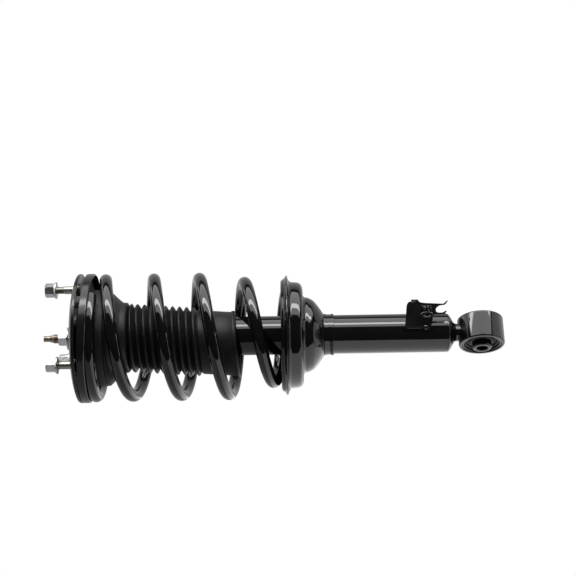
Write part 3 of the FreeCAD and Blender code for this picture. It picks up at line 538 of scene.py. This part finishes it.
# ---------------------------------------------------------------- damper body
settle(lathe("ReserveTube", rounded([
    (22.6, -186.0), (25.0, -186.0, 0.6), (25.0, -476.0), (22.6, -476.0)])),
    "damper_body", "black_paint", "reserve_tube")
settle(lathe("BaseCap", rounded([
    (0.0, -470.0), (22.6, -470.0), (22.6, -476.0), (25.0, -476.0, 1.0), (24.4, -478.4, 2),
    (20.0, -481.8, 3), (13.5, -485.2, 2), (11.5, -488.0, 0.5), (0.0, -488.0)]), closed=False),
    "damper_body", "black_paint", "base_cap", sharp=60)
settle(lathe("LowerSpringPan", rounded([
    (44.8, -291.8), (61.0, -291.8, 6), (67.4, -288.3, 6), (68.4, -281.0, 5), (68.4, -276.6, 2),
    (70.6, -273.8, 2), (77.2, -271.5, 0.3), (77.3, -270.5, 0.3), (73.4, -268.2, 2.5),
    (70.8, -264.0, 2.5), (68.2, -263.2, 2), (65.7, -264.8, 2), (65.6, -267.0),
    (65.6, -282.3, 5), (63.6, -287.7, 4), (59.0, -289.0, 3), (44.8, -289.0)], steps=8),
    segments=220),
    "damper_body", "black_paint", "lower_spring_seat", sharp=60)
settle(lathe("PanDome", rounded([
    (45.6, -291.8), (45.6, -297.3, 4), (41.3, -303.9, 6), (33.7, -309.9, 6), (25.0, -315.3),
    (25.0, -318.0), (27.0, -318.0, 0.4), (37.2, -311.5, 6), (45.3, -304.4, 7), (48.3, -297.6, 5),
    (48.4, -294.2, 1.5), (51.4, -291.8)], steps=8)),
    "damper_body", "black_paint", "seat_dome", sharp=60)
settle(lathe("PanRing", rounded([
    (25.0, -331.0), (26.6, -331.0, 0.4), (27.0, -329.8, 1), (26.0, -326.0, 3), (26.0, -323.0, 3),
    (27.0, -319.2, 1), (26.8, -318.0, 0.3), (25.0, -318.0)])),
    "damper_body", "black_paint", "seat_ring", sharp=60)

# ---------------------------------------------------------------- lower eye
settle(lathe("LowerEye", rounded([
    (25.0, -17.0, 0.3), (25.8, -18.0, 0.3), (28.4, -18.0, 0.8), (29.4, -16.8, 0.8),
    (29.4, 16.8, 0.8), (28.4, 18.0, 0.8), (25.8, 18.0, 0.3), (25.0, 17.0, 0.3)]),
    place=about_eye), "damper_body", "black_paint", "lower_eye", sharp=60)
settle(lathe("BushOuterSleeve", rounded([
    (23.0, -16.5, 0.3), (25.0, -16.5, 0.5), (25.0, 16.5, 0.5), (23.0, 16.5, 0.3)]),
    place=about_eye), "damper_body", "black_paint", "bush_outer_sleeve")
settle(lathe("BushRubber", rounded([
    (12.55, -14.5, 0.5), (15.4, -14.4, 1), (16.6, -11.4, 1.5), (19.4, -11.0, 1.5),
    (20.4, -14.4, 0.8), (22.4, -14.5, 0.6), (23.0, -13.4, 0.3), (23.0, 13.4, 0.3),
    (22.4, 14.5, 0.6), (20.4, 14.4, 0.8), (19.4, 11.0, 1.5), (16.6, 11.4, 1.5),
    (15.4, 14.4, 1), (12.55, 14.5, 0.5)]),
    place=about_eye), "damper_body", "black_rubber", "bush_rubber", sharp=60)
settle(lathe("BushInnerSleeve", rounded([
    (7.1, -21.9, 0.3), (8.1, -23.0, 0.3), (10.9, -23.0, 0.6), (12.5, -21.2, 0.8),
    (12.5, 21.2, 0.8), (10.9, 23.0, 0.6), (8.1, 23.0, 0.3), (7.1, 21.9, 0.3)]),
    place=about_eye), "bush_sleeve", "black_paint", "bush_inner_sleeve")

# ---------------------------------------------------------------- hose bracket
def on_bracket(height, depth, z):
    """A point from its height along the upright stud's side, its depth to the front, and z."""
    return UP * height + NEAR * depth + Vector((0, 0, z))


def soften(piece, width):
    """Round off the edges that turn sharply."""
    shape = bmesh.new()
    shape.from_mesh(piece.data)
    edges = [edge for edge in shape.edges
             if len(edge.link_faces) == 2 and edge.calc_face_angle() > math.radians(40)]
    bmesh.ops.bevel(shape, geom=edges, offset=width * MM, segments=3, profile=0.5,
                    affect="EDGES", clamp_overlap=True)
    bmesh.ops.recalc_face_normals(shape, faces=shape.faces)
    shape.to_mesh(piece.data)
    shape.free()
    return piece


def prism(name, points):
    """A solid between two matching outlines, given one after the other."""
    count = len(points) // 2
    faces = [list(range(count)), list(range(count, 2 * count))[::-1]]
    faces += [(i, (i + 1) % count, count + (i + 1) % count, count + i) for i in range(count)]
    return mesh_object(name, points, faces)


def sheet_piece(name, outline, front, back):
    """A flat outline of (height, z) given thickness between two depths."""
    return prism(name, [on_bracket(height, depth, z)
                        for depth in (front, back) for height, z in outline])


def pebble(name, middle, radii, rings=14, around=20):
    """A rounded lump with its own half-size each way: height, depth, z."""
    points = []
    for ring in range(rings + 1):
        tilt = math.pi * ring / rings
        for index in range(around):
            turn = 2 * math.pi * index / around
            points.append(on_bracket(middle[0] + radii[0] * math.sin(tilt) * math.cos(turn),
                                     middle[1] + radii[1] * math.sin(tilt) * math.sin(turn),
                                     middle[2] + radii[2] * math.cos(tilt)))
    return mesh_object(name, points, grid_faces(rings + 1, around, False, True))


def loop(name, middle, reach, thick, tilt=0.0, segments=48, around=14):
    """A rolled oval rim facing the front; reach is its half-size in height and in z."""
    points = []
    for segment in range(segments):
        turn = 2 * math.pi * segment / segments
        for index in range(around):
            swell = 2 * math.pi * index / around
            out = 1 + thick * math.cos(swell) / min(reach)
            height = middle[0] + reach[0] * out * math.cos(turn)
            depth = middle[1] + thick * math.sin(swell) - tilt * math.cos(turn)
            points.append(on_bracket(height, depth, middle[2] + reach[1] * out * math.sin(turn)))
    return mesh_object(name, points, grid_faces(segments, around, True, True))


PLATE_FRONT, PLATE_BACK = 27.5, 24.7
upright = soften(sheet_piece("Upright", rounded([
    (9.0, -421.2, 0.5), (37.0, -423.6, 2), (40.6, -425.8, 1.2), (41.4, -428.4, 0.8),
    (40.4, -430.4, 1), (40.6, -434.0, 1.5), (43.9, -436.0, 0.3), (43.8, -437.4, 0.3),
    (40.2, -440.0, 2), (39.2, -446.0, 3), (37.8, -470.5, 2), (42.3, -475.2, 0.3),
    (41.6, -475.9, 0.3), (36.4, -472.6, 2), (35.6, -464.5, 4), (32.0, -460.2, 4),
    (27.4, -460.8, 3), (26.6, -465.0, 2), (26.6, -469.5, 2), (29.2, -473.4, 0.3),
    (28.4, -474.4, 0.3), (24.6, -471.6, 1.5), (24.3, -457.2, 3), (12.4, -455.4, 4),
    (5.8, -452.2, 3), (4.5, -449.5, 2), (4.5, -445.8, 2), (8.7, -442.4, 2)]),
    PLATE_FRONT, PLATE_BACK), 0.45)

# a bent-back tab at the top edge, and the weld that holds the foot to the tube
TAB_OUTLINE = [(40.2, 27.3), (41.2, 25.3), (42.9, 23.3), (43.8, 21.3), (42.6, 20.7),
               (41.4, 22.7), (39.8, 24.7)]
TAB_ENDS = (-429.6, -435.8)
tab = soften(prism("Tab", [on_bracket(height, depth, z)
                           for z in TAB_ENDS for height, depth in TAB_OUTLINE]), 0.3)
BEADS, BEAD_PITCH, BEAD_TOP = 13, 1.5, -424.4
bead = [pebble(f"Bead{index}", (8.0, 24.9, BEAD_TOP - BEAD_PITCH * index), (1.6, 1.5, 1.25),
               rings=8, around=12) for index in range(BEADS)]
RIVET_HEIGHT, RIVET_Z = 8.2, -447.4


def about_rivet(angle, r, out):
    """Turned about the rivet's axis, which points to the front."""
    return on_bracket(RIVET_HEIGHT + r * math.cos(angle), out, RIVET_Z + r * math.sin(angle))


rivet = lathe("Rivet", rounded([
    (0.0, 27.4), (3.0, 27.4), (3.0, 28.3, 0.6), (1.9, 29.1, 0.5), (1.1, 28.6, 0.3), (0.0, 28.5)]),
    segments=48, closed=False, place=about_rivet)
settle(rivet, "damper_body", "black_paint", "bracket_pin", sharp=50)
bracket_paint = finish("BracketPaint", (0.004, 0.004, 0.0045), (0.007, 0.007, 0.008), (0.16, 0.24),
                       bump=0.1, bump_scale=900)
settle(joined("HoseBracket", [upright, tab, *bead]), "damper_body", "black_paint",
       "hose_bracket", sharp=35, material=bracket_paint)

clip_pieces = [soften(sheet_piece("ClipPlate", rounded([
    (21.2, -441.4, 2), (36.0, -441.4, 1.5), (36.0, -455.6, 2), (21.2, -455.6, 3)]),
    29.0, 27.4), 0.5)]
clip_pieces += [
    pebble("FoldA", (32.4, 30.0, -446.0), (2.9, 2.3, 2.3)),
    pebble("FoldB", (33.2, 29.6, -450.2), (1.7, 1.9, 1.9)),
    pebble("FoldC", (29.2, 30.0, -451.0), (2.2, 2.4, 1.7)),
    pebble("FoldD", (30.6, 29.4, -453.8), (3.6, 1.9, 1.2)),
    loop("Rim", (24.4, 30.8, -448.8), (2.9, 6.0), 1.2, tilt=0.6)]
settle(joined("BracketClip", clip_pieces), "damper_body", "black_paint", "bracket_clip", sharp=45)

# ---------------------------------------------------------------- stage, light and camera
FLOOR_R, FLOOR_DROP = 0.16, 0.13
floor_mesh = bpy.data.meshes.new("Floor")
floor_shape = bmesh.new()
bmesh.ops.create_circle(floor_shape, cap_ends=True, radius=FLOOR_R, segments=96)
floor_shape.to_mesh(floor_mesh)
floor_shape.free()
floor = bpy.data.objects.new("Floor", floor_mesh)
floor.location = (0, 0, rest_box[0][2] - FLOOR_DROP)
bpy.context.scene.collection.objects.link(floor)
floor_finish = bpy.data.materials.new("PaleFloor")
put(nodes_of(floor_finish)[1], Base_Color=(0.9, 0.9, 0.9, 1), Roughness=0.6)
floor_mesh.materials.append(floor_finish)


def facing(location, target, up):
    """A placement that looks from location to target."""
    back = (Vector(location) - Vector(target)).normalized()
    right = Vector(up).cross(back).normalized()
    over = back.cross(right)
    turn = Matrix((right, over, back)).transposed().to_4x4()
    return Matrix.Translation(location) @ turn


def softbox(name, location, target, size, strength, up=DOWN_AXIS):
    """An area light of even brightness, whatever its size, that the camera doesn't see."""
    lamp = bpy.data.lights.new(name, "AREA")
    lamp.shape = "RECTANGLE"
    lamp.size, lamp.size_y = size
    lamp.energy = strength * size[0] * size[1] * math.pi
    holder = bpy.data.objects.new(name, lamp)
    holder.matrix_world = facing(location, target, up)
    holder.visible_camera = False
    bpy.context.scene.collection.objects.link(holder)


MIDDLE = Vector((0, 0, -0.26))
# The table shines up at the damper, and is darker where it lies close under the spring.
for name, level, length, strength in (
        ("TableGlow", -0.87, 1.18, 1.35),
        ("TableShade", 0.33, 1.22, 0.42)):
    under = Vector((0, 0, level)) - NEAR * 0.48
    softbox(name, under - UP * 0.40, under, (2.06, length), strength)
softbox("Overhead", MIDDLE + UP * 1.0 + NEAR * 0.34, MIDDLE + NEAR * 0.34, (1.26, 2.6), 3.0)
softbox("Strip", MIDDLE + UP * 0.95 + NEAR * 0.42, MIDDLE + NEAR * 0.42, (0.22, 2.2), 10.0)
softbox("BackGlow", MIDDLE - NEAR * 1.1 + UP * 0.75, MIDDLE + UP * 0.75, (2.3, 6.0), 0.5)
softbox("LeftWall", MIDDLE - DOWN_AXIS * 1.5 - NEAR * 0.45 + UP * 0.45,
        MIDDLE - NEAR * 0.45 + UP * 0.45, (1.3, 1.3), 1.6, up=UP)
softbox("RightWall", MIDDLE + DOWN_AXIS * 1.5 - NEAR * 0.05 + UP * 0.05,
        MIDDLE - NEAR * 0.05 + UP * 0.05, (0.8, 0.7), 4.5, up=UP)

# The background is white behind the strut, and lights it only dimly.
DIM = 0.05
world = bpy.data.worlds.new("Studio")
bpy.context.scene.world = world
world.use_nodes = True
tree = world.node_tree
tree.nodes.clear()
path = tree.nodes.new("ShaderNodeLightPath")
white = tree.nodes.new("ShaderNodeBackground")
white.inputs["Color"].default_value = (1, 1, 1, 1)
dim = tree.nodes.new("ShaderNodeBackground")
dim.inputs["Color"].default_value = (1, 1, 1, 1)
dim.inputs["Strength"].default_value = DIM
mix = tree.nodes.new("ShaderNodeMixShader")
output = tree.nodes.new("ShaderNodeOutputWorld")
tree.links.new(path.outputs["Is Camera Ray"], mix.inputs["Fac"])
tree.links.new(dim.outputs[0], mix.inputs[1])
tree.links.new(white.outputs[0], mix.inputs[2])
tree.links.new(mix.outputs[0], output.inputs["Surface"])
bpy.context.scene.view_settings.view_transform = "Standard"

# The camera looks at the strut lying on its side, with the upper mount at the left.
SENSOR, LENS = 36.0, 84.79
DISTANCE = 1.75
target = DOWN_AXIS * 0.2732 + UP * 0.0609
camera_data = bpy.data.cameras.new("Camera")
camera_data.sensor_width = SENSOR
camera_data.lens = LENS
camera = bpy.data.objects.new("Camera", camera_data)
ROLL = math.radians(0.92)
camera_up = UP * math.cos(ROLL) + DOWN_AXIS * math.sin(ROLL)
camera.matrix_world = facing(target + NEAR * DISTANCE, target, camera_up)
bpy.context.scene.collection.objects.link(camera)
bpy.context.scene.camera = camera
